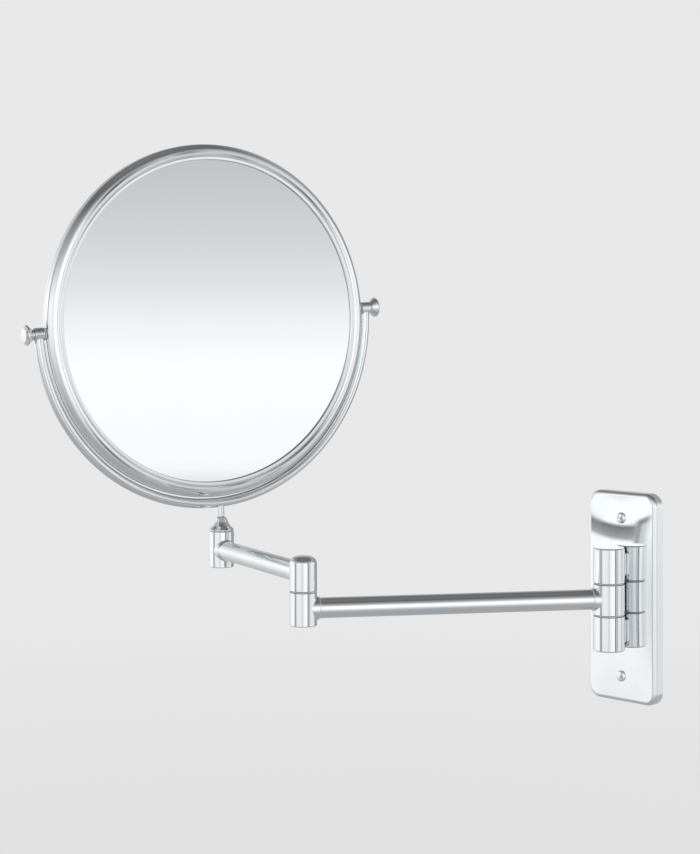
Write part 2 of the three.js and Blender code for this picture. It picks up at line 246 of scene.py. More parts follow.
def turned_metal(name, colour, rough):
    """Plain metal with the fine rings that a lathe leaves."""
    material, tree, shader, at = finish_nodes(name, 1, colour, rough)
    rings = noise(tree, at, 0.35, detail=2, stretch=(0.05, 0.05, 1))
    stain = noise(tree, at, 6, detail=4)
    tree.links.new(spread(tree, stain, rough * 0.8, rough * 1.4), shader.inputs["Roughness"])
    darker = tuple(c * 0.82 for c in colour)
    tree.links.new(tinted(tree, spread(tree, stain, 0, 1), colour, darker), shader.inputs["Base Color"])
    bumped(tree, shader, rings, 0.01)
    return material


def moulded(name, colour, darker, rough, pore, depth):
    """A dull moulded stuff with pores of the given size."""
    material, tree, shader, at = finish_nodes(name, 0, colour, rough)
    fine = noise(tree, at, pore, detail=3)
    patch = noise(tree, at, pore * 12, detail=2)
    tree.links.new(tinted(tree, spread(tree, patch, 0, 1), colour, darker), shader.inputs["Base Color"])
    tree.links.new(spread(tree, fine, rough * 0.85, min(1, rough * 1.15)), shader.inputs["Roughness"])
    bumped(tree, shader, fine, depth)
    return material


FINISHES = {
    "chrome": chrome("chrome", 0.1),
    "pressed": chrome("pressed_chrome", 0.07),
    "mirror": silvered(),
    "steel": turned_metal("steel", (0.62, 0.63, 0.64), 0.28),
    "brass": turned_metal("brass", (0.72, 0.57, 0.29), 0.3),
    "nylon": moulded("nylon", (0.80, 0.80, 0.77), (0.74, 0.74, 0.70), 0.5, 0.4, 0.01),
    "foam": moulded("foam", (0.035, 0.037, 0.04), (0.02, 0.021, 0.023), 0.9, 0.8, 0.15),
}


# ---- Making pieces ----

def finished(name, mesh, place, body, nodes, slot, look=None):
    """Puts a mesh in its place as a piece that rides on body and stands for the given CAD nodes."""
    mesh.materials.clear()
    mesh.materials.append(FINISHES[look or slot])
    piece = bpy.data.objects.new(name, turned(mesh, place))
    bpy.context.scene.collection.objects.link(piece)
    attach(piece, body)
    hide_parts(*nodes)
    return piece


def turned(mesh, matrix):
    """The mesh, turned and shifted by a matrix in metres, with its normals."""
    turn = matrix.to_3x3()
    normals = [turn @ c.vector for c in mesh.corner_normals]
    mesh.transform(matrix)
    mesh.normals_split_custom_set(normals)
    return mesh


def mesh_of(name, points, faces, corner_normals):
    """A mesh in metres from points in millimetres, faces, and a normal for each corner of each face."""
    mesh = bpy.data.meshes.new(name)
    mesh.from_pydata([Vector(p) * MM for p in points], [], faces)
    mesh.shade_smooth()
    mesh.normals_split_custom_set([Vector(n).normalized() for n in corner_normals])
    return mesh


def softened(outline, steps):
    """Rounds the corners of a closed or open outline of (a, b) or (a, b, round) points.

    Gives stretches (start, start normal, end, end normal), with the solid on the left."""
    points = [Vector(p[:2]) for p in outline]
    rounds = [p[2] if len(p) > 2 else 0 for p in outline]
    closed = points[0].x > 0
    count = len(points)
    stretches = []
    ends = {}
    for i in range(count):
        inner = closed or 0 < i < count - 1
        if not inner:
            ends[i] = (points[i], points[i], [])
            continue
        before = (points[i] - points[i - 1]).normalized()
        after = (points[(i + 1) % count] - points[i]).normalized()
        turn = math.atan2(before.cross(after), before.dot(after))
        if rounds[i] == 0 or abs(turn) < 1e-3:
            ends[i] = (points[i], points[i], [])
            continue
        reach = rounds[i] * abs(math.tan(turn / 2))
        start = points[i] - before * reach
        end = points[i] + after * reach
        side = 1 if turn > 0 else -1
        hub = start + side * rounds[i] * Vector((-before.y, before.x))
        arms = [Matrix.Rotation(turn * k / steps, 2) @ (start - hub) for k in range(steps + 1)]
        arc = [(hub + arm, side * arm.normalized()) for arm in arms]
        ends[i] = (start, end, arc)
    for i in range(count):
        for (p, n), (q, m) in zip(ends[i][2], ends[i][2][1:]):
            stretches.append((p, n, q, m))
        if not closed and i == count - 1:
            break
        p = ends[i][1]
        q = ends[(i + 1) % count][0]
        if (q - p).length > 1e-6:
            way = (q - p).normalized()
            normal = Vector((way.y, -way.x))
            stretches.append((p, normal, q, normal))
    return stretches


def revolved(name, outline, steps=BARREL_STEPS, soft=4, shift=None):
    """A solid turned about Z from an outline of (radius, height) points, anticlockwise about the solid.

    shift(angle, radius, height) may give a new height, for an end that is coped to a barrel."""
    stretches = softened(outline, soft)
    closed = stretches[0][0].x > 1e-9
    profile = [s[0] for s in stretches] + ([] if closed else [stretches[-1][2]])
    index = []
    points = []
    for p in profile:
        on_axis = p.x < 1e-6
        index.append([len(points) + (0 if on_axis else i) for i in range(steps)])
        for i in range(1 if on_axis else steps):
            angle = 2 * math.pi * i / steps
            height = shift(angle, p.x, p.y) if shift else p.y
            points.append((p.x * math.cos(angle), p.x * math.sin(angle), height))
    faces = []
    normals = []
    for k, (p, n, q, m) in enumerate(stretches):
        low, high = index[k], index[(k + 1) % len(profile)]
        for i in range(steps):
            j = (i + 1) % steps
            corners = [(low[i], n, i), (low[j], n, i + 1), (high[j], m, i + 1), (high[i], m, i)]
            kept = [c for at, c in enumerate(corners) if c[0] not in [d[0] for d in corners[:at]]]
            faces.append([c[0] for c in kept])
            for _, normal, turn in kept:
                angle = 2 * math.pi * turn / steps
                normals.append((normal.x * math.cos(angle), normal.x * math.sin(angle), normal.y))
    return mesh_of(name, points, faces, normals)


class Surface:
    """The corner normals of a mesh, to be read at any point on it. Sign -1 is for a tool that cuts."""

    def __init__(self, mesh, sign):
        mesh.calc_loop_triangles()
        self.corners = [v.co.copy() for v in mesh.vertices]
        self.triangles = [tuple(t.vertices) for t in mesh.loop_triangles]
        self.normals = [[mesh.corner_normals[c].vector.copy() for c in t.loops] for t in mesh.loop_triangles]
        self.tree = BVHTree.FromPolygons(self.corners, self.triangles)
        self.sign = sign

    def normals_at(self, point, reach=2e-6):
        for _, _, index, _ in self.tree.find_nearest_range(point, reach):
            a, b, c = (self.corners[v] for v in self.triangles[index])
            yield self.sign * barycentric_transform(point, a, b, c, *self.normals[index])


# Cosine of the widest angle between a face and a smooth normal on it
SMOOTH_LIMIT = 0.5


def merged(name, base, added=(), cut=()):
    """One closed mesh from others, joined and cut, where each part of the surface keeps its own normals."""
    body = bpy.data.objects.new(name, base)
    bpy.context.scene.collection.objects.link(body)
    tools = []
    for mesh, operation in [(m, "UNION") for m in added] + [(m, "DIFFERENCE") for m in cut]:
        tool = bpy.data.objects.new("tool", mesh)
        bpy.context.scene.collection.objects.link(tool)
        tools.append(tool)
        boolean = body.modifiers.new(operation, "BOOLEAN")
        boolean.operation = operation
        boolean.solver = "EXACT"
        boolean.object = tool
    graph = bpy.context.evaluated_depsgraph_get()
    result = bpy.data.meshes.new_from_object(body.evaluated_get(graph))
    surfaces = [Surface(m, 1) for m in (base, *added)] + [Surface(m, -1) for m in cut]
    for tool in [body, *tools]:
        bpy.data.objects.remove(tool)
    normals = []
    for face in result.polygons:
        for corner in face.vertices:
            at = result.vertices[corner].co
            near = [n for s in surfaces for n in s.normals_at(at)]
            best = max(near, key=lambda n: n.dot(face.normal), default=face.normal)
            normals.append(best.normalized() if best.dot(face.normal) > SMOOTH_LIMIT else face.normal)
    result.shade_smooth()
    result.normals_split_custom_set(normals)
    return result


def moved(mesh, matrix):
    """The mesh, turned and shifted by a matrix in millimetres, with its normals."""
    shift = Matrix.Translation(matrix.to_translation() * MM)
    return turned(mesh, shift @ matrix.to_3x3().to_4x4())


def shifted(x=0, y=0, z=0):
    return Matrix.Translation((x, y, z))


def cylinder(name, radius, low, high, soft=0, steps=SMALL_STEPS):
    return revolved(name, [(0, low), (radius, low, soft), (radius, high, soft), (0, high)], steps)


def washer(name, inner, outer, low, high):
    rounded = 0.12
    corners = [(inner, low), (outer, low, rounded), (outer, high, rounded), (inner, high)]
    return revolved(name, corners, SMALL_STEPS, soft=3)


# ---- Wall plate and its screws ----

PLATE_CROWN = 0.9
ROLL_INSET = 2.6
ROLL_DEPTH = 2.2
ROLL_STEPS = 12
FACE_STEPS = 16
COUNTERSINK = 2.2
COUNTERSINK_LIP = 0.3
SCREW_SHANK = 1.8
SHANK_HOLE = 2.05
HEAD_HOLE = SCREW_HEAD + 0.2


def plate_ring(inset, corner_steps=10, side_steps=(20, 60)):
    """Points and outward directions round the plate's outline, drawn in by inset."""
    middle = Vector((PLATE_WIDTH / 2 - PLATE_CORNER, PLATE_HEIGHT / 2 - PLATE_CORNER))
    reach = PLATE_CORNER - inset
    ring = []
    for quarter, signs in enumerate([(1, 1), (-1, 1), (-1, -1), (1, -1)]):
        hub = Vector(m * s for m, s in zip(middle, signs))
        for k in range(corner_steps + 1):
            angle = math.pi / 2 * (quarter + k / corner_steps)
            way = Vector((math.cos(angle), math.sin(angle)))
            ring.append((hub + reach * way, way))
        steps = side_steps[quarter % 2]
        start = ring[-1][0]
        along = Vector((-way.y, way.x)) * 2 * middle[quarter % 2]
        ring += [(start + along * k / steps, way) for k in range(1, steps)]
    return ring


def plate_shell():
    """The plate without its holes, its face towards +Z: a rolled edge round a slightly crowned front."""
    half = Vector((PLATE_WIDTH / 2, PLATE_HEIGHT / 2))

    def crowned(at, depth, normal):
        u, v = at.x / half.x, at.y / half.y
        rise = PLATE_CROWN * (1 - u * u) * (1 - v * v) * depth / PLATE_DEPTH
        slope = Vector((2 * u * (1 - v * v) / half.x, 2 * v * (1 - u * u) / half.y, 0))
        tilted = normal + slope * PLATE_CROWN * normal.z
        return Vector((at.x, at.y, depth - PLATE_CROWN + rise)), tilted.normalized()

    outline = plate_ring(0)
    rings = [[(at.to_3d(), way.to_3d()) for at, way in outline]]
    for k in range(ROLL_STEPS + 1):
        angle = math.pi / 2 * k / ROLL_STEPS
        depth = PLATE_DEPTH - ROLL_DEPTH * (1 - math.sin(angle))
        ring = plate_ring(ROLL_INSET * (1 - math.cos(angle)))
        rings.append([])
        for at, way in ring:
            normal = way.to_3d() * math.cos(angle) * ROLL_DEPTH + Vector((0, 0, math.sin(angle) * ROLL_INSET))
            rings[-1].append(crowned(at, depth, normal.normalized()))
    spine = half.y - half.x
    for k in range(1, FACE_STEPS + 1):
        share = k / (FACE_STEPS + 0.5)
        rings.append([])
        for at, _ in ring:
            core = Vector((0, max(-spine, min(spine, at.y))))
            rings[-1].append(crowned(at.lerp(core, share), PLATE_DEPTH, Vector((0, 0, 1))))
    count = len(outline)
    faces = [tuple(reversed(range(count)))]
    normals = [Vector((0, 0, -1))] * count
    for k in range(len(rings) - 1):
        for i in range(count):
            j = (i + 1) % count
            faces.append((k * count + i, k * count + j, (k + 1) * count + j, (k + 1) * count + i))
            normals += [rings[k][i][1], rings[k][j][1], rings[k + 1][j][1], rings[k + 1][i][1]]
    faces.append(tuple((len(rings) - 1) * count + i for i in range(count)))
    normals += [n for _, n in rings[-1]]
    return mesh_of("shell", [p for ring in rings for p, _ in ring], faces, normals)


def screw_hole(rise):
    outline = [(0, -1), (SHANK_HOLE, -1), (SHANK_HOLE, PLATE_DEPTH - COUNTERSINK)]
    outline += [(HEAD_HOLE, PLATE_DEPTH - 0.1), (HEAD_HOLE, PLATE_DEPTH + 2), (0, PLATE_DEPTH + 2)]
    return moved(revolved("hole", outline, SMALL_STEPS), shifted(y=rise))


def screw(rise):
    """A countersunk screw whose slightly domed head stands a little proud of the plate."""
    top = PLATE_DEPTH - COUNTERSINK_LIP
    outline = [(0, 0.5), (SCREW_SHANK, 0.5), (SCREW_SHANK, PLATE_DEPTH - COUNTERSINK)]
    outline += [(SCREW_HEAD, top, 0.15), (SCREW_HEAD - 0.05, top + 0.35, 0.2)]
    outline += [(2.2, PLATE_DEPTH + 0.6, 1.6), (0, PLATE_DEPTH + 0.95)]
    return moved(revolved("screw", outline, SMALL_STEPS, soft=6), shifted(y=rise))


holes = [screw_hole(SCREW_RISE), screw_hole(-SCREW_RISE)]
finished("plate", merged("plate", plate_shell(), cut=holes), OUTWARDS, "wall", ["wall_plate"], "chrome",
         look="pressed")
for end, rise in [("top", SCREW_RISE), ("bottom", -SCREW_RISE)]:
    finished(f"screw_{end}", screw(rise), OUTWARDS, "wall", [f"wall_screw_{end}"], "chrome")


# ---- Wall hinge ----

KNUCKLE_LOW = HUB_HALF + WASHER + 2 * GAP
# How far a brazed post or sleeve sinks into its barrel, so that no light shows in the seam
POST_SINK = 0.05
SLEEVE_SINK = 0.03


def coped_block(name, radius, back, half_width, low, high, soft, steps=8):
    """A block along +Y from a barrel's surface to a flat back, its four long edges rounded."""
    section = []
    for quarter, (sx, sz) in enumerate([(1, 1), (-1, 1), (-1, -1), (1, -1)]):
        hub = Vector((sx * (half_width - soft), (high + low) / 2 + sz * ((high - low) / 2 - soft)))
        for k in range(steps + 1):
            angle = math.pi / 2 * (quarter + k / steps)
            way = Vector((math.cos(angle), math.sin(angle)))
            section.append((hub + soft * way, way))
    count = len(section)
    near = [(p.x, math.sqrt(radius ** 2 - p.x ** 2), p.y) for p, _ in section]
    far = [(p.x, back, p.y) for p, _ in section]
    normals = [Vector((0, -1, 0))] * count + [Vector((0, 1, 0))] * count
    faces = [tuple(range(count)), tuple(reversed(range(count, 2 * count)))]
    for i in range(count):
        j = (i + 1) % count
        faces.append((j, i, count + i, count + j))
        ways = [section[j][1], section[i][1], section[i][1], section[j][1]]
        normals += [Vector((w.x, 0, w.y)) for w in ways]
    return mesh_of(name, near + far, faces, normals)


post_back = -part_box("wall_plate")[0].y / MM
reach = -spot("wall_swing").y / MM - post_back - POST_SINK
for end, side in [("top", 1), ("bottom", -1)]:
    low, high = sorted((side * POST_LOW, side * POST_HIGH))
    post = coped_block("post", WALL_BARREL - POST_SINK, reach, POST_WIDTH / 2, low, high, 1.2)
    finished(f"post_{end}", post, WALL, "wall", [f"wall_knuckle_{end}"], "chrome")

finished("hinge_cap", revolved("hinge_cap", [
    (0, KNUCKLE_LOW),
    (WALL_BARREL, KNUCKLE_LOW, 0.25),
    (WALL_BARREL, WALL_BARREL_HALF, 0.9),
    (0, WALL_BARREL_HALF),
], soft=8), WALL, "wall", ["wall_knuckle_top"], "chrome")
finished("hinge_foot", revolved("hinge_foot", [
    (WALL_PIN + PIN_ROOM, -WALL_BARREL_HALF + POCKET_DEPTH),
    (WIDE_POCKET, -WALL_BARREL_HALF + POCKET_DEPTH),
    (WIDE_POCKET, -WALL_BARREL_HALF, 0.2),
    (WALL_BARREL, -WALL_BARREL_HALF, 0.9),
    (WALL_BARREL, -KNUCKLE_LOW, 0.25),
    (WALL_PIN + PIN_ROOM, -KNUCKLE_LOW),
], soft=8), WALL, "wall", ["wall_knuckle_bottom"], "chrome")
head_top = -WALL_BARREL_HALF + POCKET_DEPTH - GAP
finished("hinge_pin", revolved("hinge_pin", [
    (0, -WALL_BARREL_HALF + 0.4),
    (6, -WALL_BARREL_HALF + 0.4, 0.5),
    (6, head_top, 0.1),
    (WALL_PIN, head_top),
    (WALL_PIN, WALL_BARREL_HALF - 3.4, 0.5),
    (0, WALL_BARREL_HALF - 3.4),
]), WALL, "wall", ["wall_hinge_pin"], "steel")
for end, low in [("top", HUB_HALF + GAP), ("bottom", -HUB_HALF - GAP - WASHER)]:
    ring = washer("washer", WALL_PIN + 0.3, WALL_BARREL - 0.4, low, low + WASHER)
    finished(f"hinge_washer_{end}", ring, WALL, "wall", [f"wall_washer_{end}"], "nylon")


# ---- Arms ----

ARM_WALL = 1.5
BORE_TOP = 25


def collar(barrel, far):
    """A flared sleeve from a barrel's side on to the arm, coped to the barrel."""

    def coped(angle, radius, height):
        return max(height, math.sqrt(barrel ** 2 - (radius * math.sin(angle)) ** 2) - SLEEVE_SINK)

    flare = revolved("collar", [
        (ARM_RADIUS + 0.02, 0),
        (ARM_RADIUS + 0.8, 0),
        (ARM_RADIUS + 0.75, barrel + 0.9, 0.5),
        (ARM_RADIUS + 0.02, barrel + 1.7),
    ], shift=coped, soft=6)
    turn = Matrix.Rotation(math.pi if far else 0, 4, "Z")
    return moved(flare, turn @ ALONG_X)


def arm_tube(length, near, far):
    low = near + 1
    high = length - far - 1
    bore = ARM_RADIUS - ARM_WALL
    outline = [(bore, low), (ARM_RADIUS, low), (ARM_RADIUS, high), (bore, high)]
    return moved(revolved("arm", outline), ALONG_X)


finished("arm_hub", revolved("arm_hub", [
    (WALL_PIN + PIN_ROOM, -HUB_HALF),
    (WALL_BARREL, -HUB_HALF, 0.25),
    (WALL_BARREL, HUB_HALF, 0.25),
    (WALL_PIN + PIN_ROOM, HUB_HALF),
], soft=5), LONG, "long_arm", ["long_arm_hub"], "chrome")
finished("long_arm", arm_tube(LONG_ARM, WALL_BARREL, BARREL), LONG, "long_arm", ["long_arm_tube"], "chrome")
SHORT_LINE = SHORT @ Matrix.Translation((0, 0, SHORT_ARM_RISE * MM))
tube = arm_tube(SHORT_ARM, BARREL, BARREL)
finished("short_arm", tube, SHORT_LINE, "short_arm", ["short_arm_tube"], "chrome")
for body, end, line, barrel, reach in [
    ("long_arm", "wall", LONG, WALL_BARREL, 0),
    ("long_arm", "elbow", LONG, BARREL, LONG_ARM),
    ("short_arm", "elbow", SHORT_LINE, BARREL, 0),
    ("short_arm", "head", SHORT_LINE, BARREL, SHORT_ARM),
]:
    place = line @ Matrix.Translation((reach * MM, 0, 0))
    sleeve = collar(barrel, reach > 0)
    finished(f"{body}_sleeve_{end}", sleeve, place, body, [f"{body}_collar_{end}"], "chrome")

finished("elbow_base", revolved("elbow_base", [
    (ELBOW_PIN + PIN_ROOM, ELBOW_LOW + POCKET_DEPTH),
    (5.6, ELBOW_LOW + POCKET_DEPTH),
    (5.6, ELBOW_LOW, 0.15),
    (BARREL, ELBOW_LOW, 0.7),
    (BARREL, ELBOW_SPLIT - GAP, 0.25),
    (ELBOW_PIN + PIN_ROOM, ELBOW_SPLIT - GAP),
], soft=8), ELBOW, "long_arm", ["elbow_knuckle_lower"], "chrome")
finished("elbow_bolt", revolved("elbow_bolt", [
    (0, ELBOW_LOW + 0.4),
    (5.3, ELBOW_LOW + 0.4, 0.4),
    (5.3, ELBOW_LOW + POCKET_DEPTH - GAP, 0.1),
    (ELBOW_PIN, ELBOW_LOW + POCKET_DEPTH - GAP),
    (ELBOW_PIN, BORE_TOP - 0.4, 0.4),
    (0, BORE_TOP - 0.4),
]), ELBOW, "long_arm", ["elbow_pin"], "steel")
ring = washer("washer", ELBOW_PIN + 0.3, BARREL - 0.15, ELBOW_SPLIT, ELBOW_SPLIT + WASHER)
finished("elbow_ring", ring, ELBOW, "long_arm", ["elbow_washer"], "nylon")
elbow_low = ELBOW_SPLIT + WASHER + GAP
finished("elbow_cap", revolved("elbow_cap", [
    (0, BORE_TOP),
    (ELBOW_PIN + PIN_ROOM, BORE_TOP),
    (ELBOW_PIN + PIN_ROOM, elbow_low),
    (BARREL, elbow_low, 0.25),
    (BARREL, ELBOW_TOP - 2.6, 4),
    (BARREL - 3.6, ELBOW_TOP - 0.4, 6),
    (0, ELBOW_TOP),
], soft=16), SHORT, "short_arm", ["elbow_knuckle_upper"], "chrome")
HEAD_END = SHORT @ Matrix.Translation((SHORT_ARM * MM, 0, 0))
finished("end_barrel", revolved("end_barrel", [
    (3.4, HEAD_BARREL_LOW + 3.2),
    (WIDE_POCKET, HEAD_BARREL_LOW + 3.2),
    (WIDE_POCKET, HEAD_BARREL_LOW, 0.15),
    (BARREL, HEAD_BARREL_LOW, 0.6),
    (BARREL, HEAD_BARREL_TOP, 0.25),
    (WIDE_POCKET, HEAD_BARREL_TOP, 0.1),
    (WIDE_POCKET, 27),
    (3.4, 27),
], soft=8), HEAD_END, "short_arm", ["head_barrel"], "chrome")


# ---- Swivel and ball joint ----

BALL_RADIUS = 3.4
SOCKET = BALL_RADIUS + GAP
SPINDLE_TOP = 33
SPINDLE_ROOM = 6.15
SWIVEL_SCREW = 1.9
SWIVEL_SCREW_TOP = 21.5
SWIVEL_HEAD_TOP = 11.75


def sphere_outline(radius, centre, low, high, steps):
    """Points on a sphere round a height on the axis, from angle low to high above its waist, in degrees."""
    angles = [math.radians(low + (high - low) * k / steps) for k in range(steps + 1)]
    return [(max(0, radius * math.cos(a)), centre + radius * math.sin(a)) for a in angles]


cone_base = HEAD_BARREL_TOP + GAP
mouth = math.degrees(math.acos(CONE_MOUTH / SOCKET))
seat = math.degrees(math.asin((SPINDLE_TOP + GAP - BALL_RISE) / SOCKET))
cone = [
    (SPINDLE_ROOM, cone_base),
    (7.7, cone_base, 0.1),
    (7.9, cone_base + 0.9, 0.5),
    (5.7, 35.5, 3),
    (4.2, 38, 3),
    (3.2, CONE_TOP, 0.2),
    (CONE_MOUTH, CONE_TOP),
]
cone += sphere_outline(SOCKET, BALL_RISE, mouth, seat, 8) + [(SPINDLE_ROOM, SPINDLE_TOP + GAP)]
finished("cone", revolved("cone", cone, soft=8), SWIVEL, "swivel", ["swivel_cone"], "chrome")
spindle_ring = washer("washer", 3.5, 5.9, 12, 12.45)
finished("swivel_ring", spindle_ring, SWIVEL, "swivel", ["swivel_washer"], "nylon")
finished("swivel_bolt", revolved("swivel_bolt", [
    (0, 9.9),
    (5.8, 9.9, 0.4),
    (5.8, SWIVEL_HEAD_TOP, 0.1),
    (SWIVEL_SCREW, SWIVEL_HEAD_TOP),
    (SWIVEL_SCREW, SWIVEL_SCREW_TOP),
    (0, SWIVEL_SCREW_TOP),
]), SWIVEL, "swivel", ["swivel_screw"], "steel")

stud_top = STUD_TOP - BALL_RISE
neck = math.degrees(math.acos(STUD_NECK / BALL_RADIUS))
stud = sphere_outline(BALL_RADIUS, 0, -90, neck, 20)
stud += [(STUD_NECK, 6.2, 0.3), (STEM, 6.7, 0.3), (STEM, stud_top + 0.2), (0, stud_top + 0.2)]
finished("stud", revolved("stud", stud, SMALL_STEPS), BALL, "yoke", ["ball_stud"], "chrome")


# ---- Yoke ----

def bow(steps=180, sides=40):
    """The half circle of the yoke's tube, in the XZ plane, open end up."""
    points = []
    normals = []
    for k in range(steps + 1):
        angle = math.pi * (1 + k / steps)
        away = Vector((math.cos(angle), 0, math.sin(angle)))
        for i in range(sides):
            round_ = 2 * math.pi * i / sides
            normal = away * math.cos(round_) + Vector((0, math.sin(round_), 0))
            points.append(away * YOKE_BEND + normal * YOKE_TUBE)
            normals.append(normal)
    faces = [tuple(range(sides)), tuple(reversed(range(steps * sides, (steps + 1) * sides)))]
    corners = [Vector((0, 0, 1))] * (2 * sides)
    for k in range(steps):
        for i in range(sides):
            j = (i + 1) % sides
            face = (k * sides + j, k * sides + i, (k + 1) * sides + i, (k + 1) * sides + j)
            faces.append(face)
            corners += [normals[c] for c in face]
    return mesh_of("bow", points, faces, corners)


bosses = []
for side in (1, -1):
    low, high = sorted((side * BOSS_INNER, side * BOSS_OUTER))
    bosses.append(moved(cylinder("boss", BOSS, low, high, soft=0.5), ALONG_X))
stem_low = stud_top + 0.2 - HEAD_RISE
stem = revolved("stem", [(0, stem_low), (STEM, stem_low), (STEM, -YOKE_BEND), (0, -YOKE_BEND)], SMALL_STEPS)
finished("bow", merged("bow", bow(), added=[*bosses, stem]), MIRROR, "yoke", ["yoke"], "chrome")


# ---- Mirror ----

def frame_half(side):
    outline = [
        (FRAME_RADIUS, 0.15, 0.2),
        (FRAME_RADIUS, 3, 4.5),
        (FRAME_RADIUS - 2.6, FRAME_HALF - 0.6, 4.5),
        (FRAME_RADIUS - 5.6, FRAME_HALF, 1.5),
        (GLASS_RADIUS + 1.2, FRAME_HALF - 0.4, 0.5),
        (GLASS_RADIUS + 0.7, FRAME_HALF - 1, 0.3),
        (GLASS_RADIUS + 0.2, FRAME_HALF - 0.4, 0.4),
        (SIGHT_RADIUS + 0.4, FRAME_HALF - 0.5, 0.4),
        (SIGHT_RADIUS, GLASS_FACE + GAP, 0.15),
        (GLASS_RADIUS + GAP, GLASS_FACE + GAP),
        (GLASS_RADIUS + GAP, 0.15),
        (GLASS_RADIUS + 1.3, 0.15),
        (GLASS_RADIUS + 1.3, FRAME_HALF - 1.8),
        (GLASS_RADIUS + 2.8, FRAME_HALF - 1.3),
        (GLASS_RADIUS + 4.4, FRAME_HALF - 1.9),
        (FRAME_RADIUS - 2.2, 3.4),
        (FRAME_RADIUS - 1.4, 0.15),
    ]
    flip = Matrix.Rotation(0 if side > 0 else math.pi, 4, "X")
    return moved(revolved("ring", outline, RING_STEPS, soft=8), OUTWARDS @ flip)


finished("ring_front", frame_half(1), MIRROR, "mirror", ["frame_front"], "chrome")
finished("ring_back", frame_half(-1), MIRROR, "mirror", ["frame_back"], "chrome")
pane = cylinder("pane", GLASS_RADIUS, GLASS_FACE - GLASS, GLASS_FACE, soft=0.3, steps=RING_STEPS)
finished("pane_plain", pane, MIRROR @ OUTWARDS, "mirror", ["plain_glass"], "mirror")


def hollow(radius):
    """Height of the magnifier's hollow face below its rim plane."""
    rim = math.sqrt(MAGNIFIER_CURVE ** 2 - GLASS_RADIUS ** 2)
    return math.sqrt(MAGNIFIER_CURVE ** 2 - radius ** 2) - rim


def dished(offset, steps=24):
    radii = [GLASS_RADIUS * k / steps for k in range(steps + 1)]
    return [(r, -GLASS_FACE + offset + hollow(r)) for r in radii]


lens = revolved("lens", dished(0) + dished(GLASS)[::-1], RING_STEPS)
finished("pane_magnifying", lens, MIRROR @ OUTWARDS, "mirror", ["magnifying_glass"], "mirror")
for side, turn in [("right", Matrix.Identity(4)), ("left", FLIPPED)]:
    place = MIRROR @ turn @ ALONG_X
    nut = washer("nut", PIVOT_PIN + PIN_ROOM, 2.9, GLASS_RADIUS + 1.6, GLASS_RADIUS + 4.6)
    finished(f"nut_{side}", nut, place, "mirror", [f"pivot_nut_{side}"], "brass")
    pin = cylinder("pin", PIVOT_PIN, GLASS_RADIUS + 1.8, KNOB_INNER + 3.1, soft=0.3)
    finished(f"pin_{side}", pin, place, "mirror", [f"pivot_pin_{side}"], "steel")
    ring = washer("washer", PIVOT_PIN + 0.2, 3.7, FRAME_RADIUS + 0.2, FRAME_RADIUS + 0.65)
    finished(f"spacer_{side}", ring, place, "mirror", [f"pivot_washer_{side}"], "nylon")
    knob = revolved("knob", [
        (0, 3.4),
        (PIVOT_PIN + PIN_ROOM, 3.4),
        (PIVOT_PIN + PIN_ROOM, 0),
        (3.4, 0, 0.2),
        (3.6, 1, 1),
        (6.3, 3.9, 0.7),
        (6.3, 4.7, 0.7),
        (4.2, 6.05, 1.2),
        (0, 6.4),
    ], SMALL_STEPS, soft=8)
    knob = moved(knob, shifted(z=KNOB_INNER))
    finished(f"knob_{side}", knob, place, "mirror", [f"pivot_knob_{side}"], "chrome")

# Nodes that stay as they are, out of sight inside the others
for name, slot in [("swivel_spindle", "steel"), ("backing_pad", "foam")]:
    node = frame["nodes"][name]
    node.data.materials.clear()
    node.data.materials.append(FINISHES[slot])


# ---- Camera, floor and light ----

CAMERA_PLACE = (0.730, -0.939, 0.1786)
CAMERA_HEADING = 46
CAMERA_LENS = 82.2
CAMERA_SHIFT = -0.149


def camera():
    """A level camera, to the right of the plate and in front of it."""
    data = bpy.data.cameras.new("camera")
    data.lens = CAMERA_LENS
    data.sensor_width = 36
    data.shift_y = CAMERA_SHIFT
    data.clip_start = 0.01
    seen = bpy.data.objects.new("camera", data)
    seen.location = CAMERA_PLACE
    seen.rotation_euler = (math.radians(90), 0, math.radians(CAMERA_HEADING))
    bpy.context.scene.collection.objects.link(seen)
    bpy.context.scene.camera = seen


camera()

FLOOR_DROP = 0.16
FLOOR_RADIUS = 1.6
FLOOR_SIDES = 96
# Distances from the middle at which the floor starts and ends its fade, in millimetres
FLOOR_FADE = (150, 1400)
# How much of the camera's view of the floor is the even backdrop
FLOOR_EVENNESS = 0.85
BACKDROP = (0.81, 0.81, 0.81)


